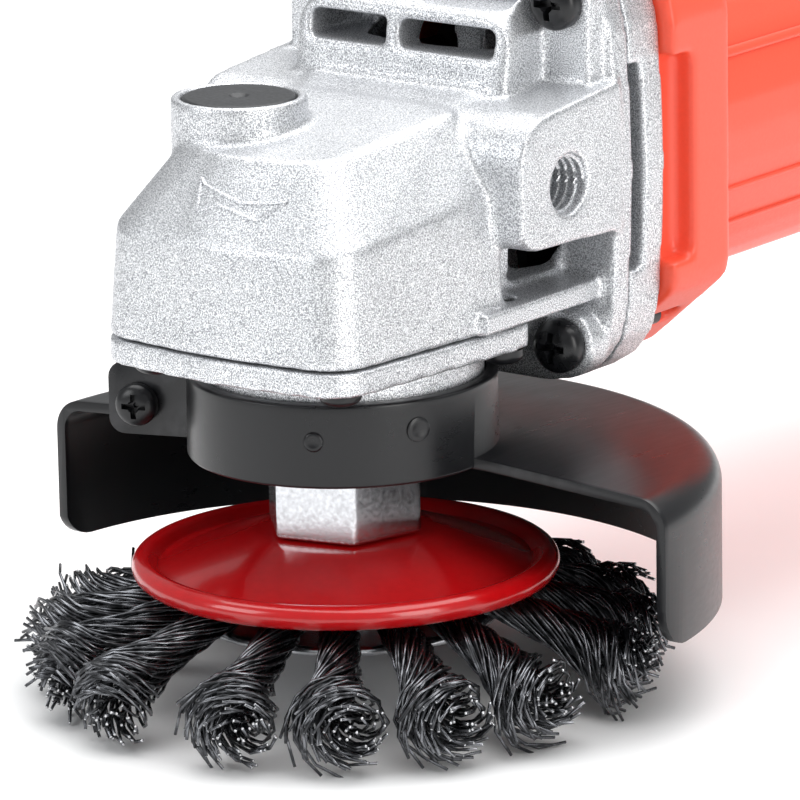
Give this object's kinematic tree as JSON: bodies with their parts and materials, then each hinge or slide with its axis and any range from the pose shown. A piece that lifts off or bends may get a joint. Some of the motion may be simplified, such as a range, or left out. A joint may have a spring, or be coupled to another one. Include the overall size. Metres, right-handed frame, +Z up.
{
  "type": "angle grinder",
  "caption": "Angle grinder with cast gear head, red motor housing, black half guard and a bevelled knot wire brush on a red hub.",
  "frame": {"origin": "centre of the spindle's end face, at the middle of the brush's hub", "axes": "+Z up the spindle, +Y along the motor towards the tail, -Y the front of the gear head, +X the right side"},
  "size_m": [0.1145, 0.2834, 0.112],
  "materials": {
    "cast_aluminium": "bead-blasted casting, fine speckle",
    "bright_steel": "turned and ground",
    "dark_wire": "dark drawn wire",
    "black_enamel": "semi-gloss black enamel",
    "black_plastic": "satin moulding",
    "red_housing": "satin moulding",
    "red_lacquer": "high-gloss red lacquer",
    "core_iron": "stacked sheet",
    "copper": "enamelled copper winding",
    "brass": "folded sheet",
    "graphite": "pressed carbon"
  },
  "bodies": {
    "housing": {"gear_housing": "cast_aluminium", "bearing_cover": "cast_aluminium", "motor_flange": "cast_aluminium", "motor_housing": "red_housing", "rear_cover": "red_housing", "rear_cover_screw": "black_enamel", "cord_gland": "black_plastic", "switch_body": "black_plastic", "cover_screw_1": "black_enamel", "cover_screw_2": "black_enamel", "cover_screw_3": "black_enamel", "cover_screw_4": "black_enamel", "head_screw_1": "black_enamel", "head_screw_2": "black_enamel", "head_screw_3": "black_enamel", "head_screw_4": "black_enamel", "spindle_bearing_lower": "bright_steel", "spindle_bearing_upper": "bright_steel", "armature_bearing_front": "bright_steel", "armature_bearing_rear": "bright_steel", "stator_core": "core_iron", "field_coil_1": "copper", "field_coil_2": "copper", "brush_holder_1": "brass", "brush_holder_2": "brass", "carbon_brush_1": "graphite", "carbon_brush_2": "graphite", "lock_spring": "bright_steel"},
    "guard": {"guard_shell": "black_enamel", "guard_clamp_screw": "black_enamel", "guard_clamp_nut": "bright_steel"},
    "spindle": {"spindle": "bright_steel", "crown_gear": "bright_steel", "hub_nut": "bright_steel", "hub_disc_upper": "red_lacquer", "hub_disc_lower": "bright_steel", "wire_knot_01": "dark_wire", "wire_knot_02": "dark_wire", "wire_knot_03": "dark_wire", "wire_knot_04": "dark_wire", "wire_knot_05": "dark_wire", "wire_knot_06": "dark_wire", "wire_knot_07": "dark_wire", "wire_knot_08": "dark_wire", "wire_knot_09": "dark_wire", "wire_knot_10": "dark_wire", "wire_knot_11": "dark_wire", "wire_knot_12": "dark_wire", "wire_knot_13": "dark_wire", "wire_knot_14": "dark_wire", "wire_knot_15": "dark_wire", "wire_knot_16": "dark_wire"},
    "armature": {"armature_shaft": "bright_steel", "pinion": "bright_steel", "rotor_core": "core_iron", "commutator": "copper", "fan": "black_plastic"},
    "lock_button": {"lock_button": "black_plastic"},
    "switch_slider": {"switch_slider": "black_plastic"}
  },
  "joints": [
    {"name": "guard_turn", "type": "hinge", "parent": "housing", "child": "guard", "pos_m": [0, 0, 0.0219], "axis": [0, 0, 1], "range_deg": [-30, 180]},
    {"name": "spindle_spin", "type": "hinge", "parent": "housing", "child": "spindle", "pos_m": [0, 0, 0], "axis": [0, 0, 1], "continuous": true},
    {"name": "armature_spin", "type": "hinge", "parent": "housing", "child": "armature", "pos_m": [0, 0.1, 0.055], "axis": [0, 1, 0], "continuous": true},
    {"name": "lock_press", "type": "slide", "parent": "housing", "child": "lock_button", "axis": [0, 0, -1], "range_m": [0, 0.0028], "stiffness_N_per_m": 600, "springref_m": -0.003, "deforming": ["lock_spring"]},
    {"name": "switch_slide", "type": "slide", "parent": "housing", "child": "switch_slider", "axis": [0, -1, 0], "range_m": [0, 0.007]}
  ],
  "couplings": [
    {"joint": "armature_spin", "follows": "spindle_spin", "ratio": 3}
  ]
}
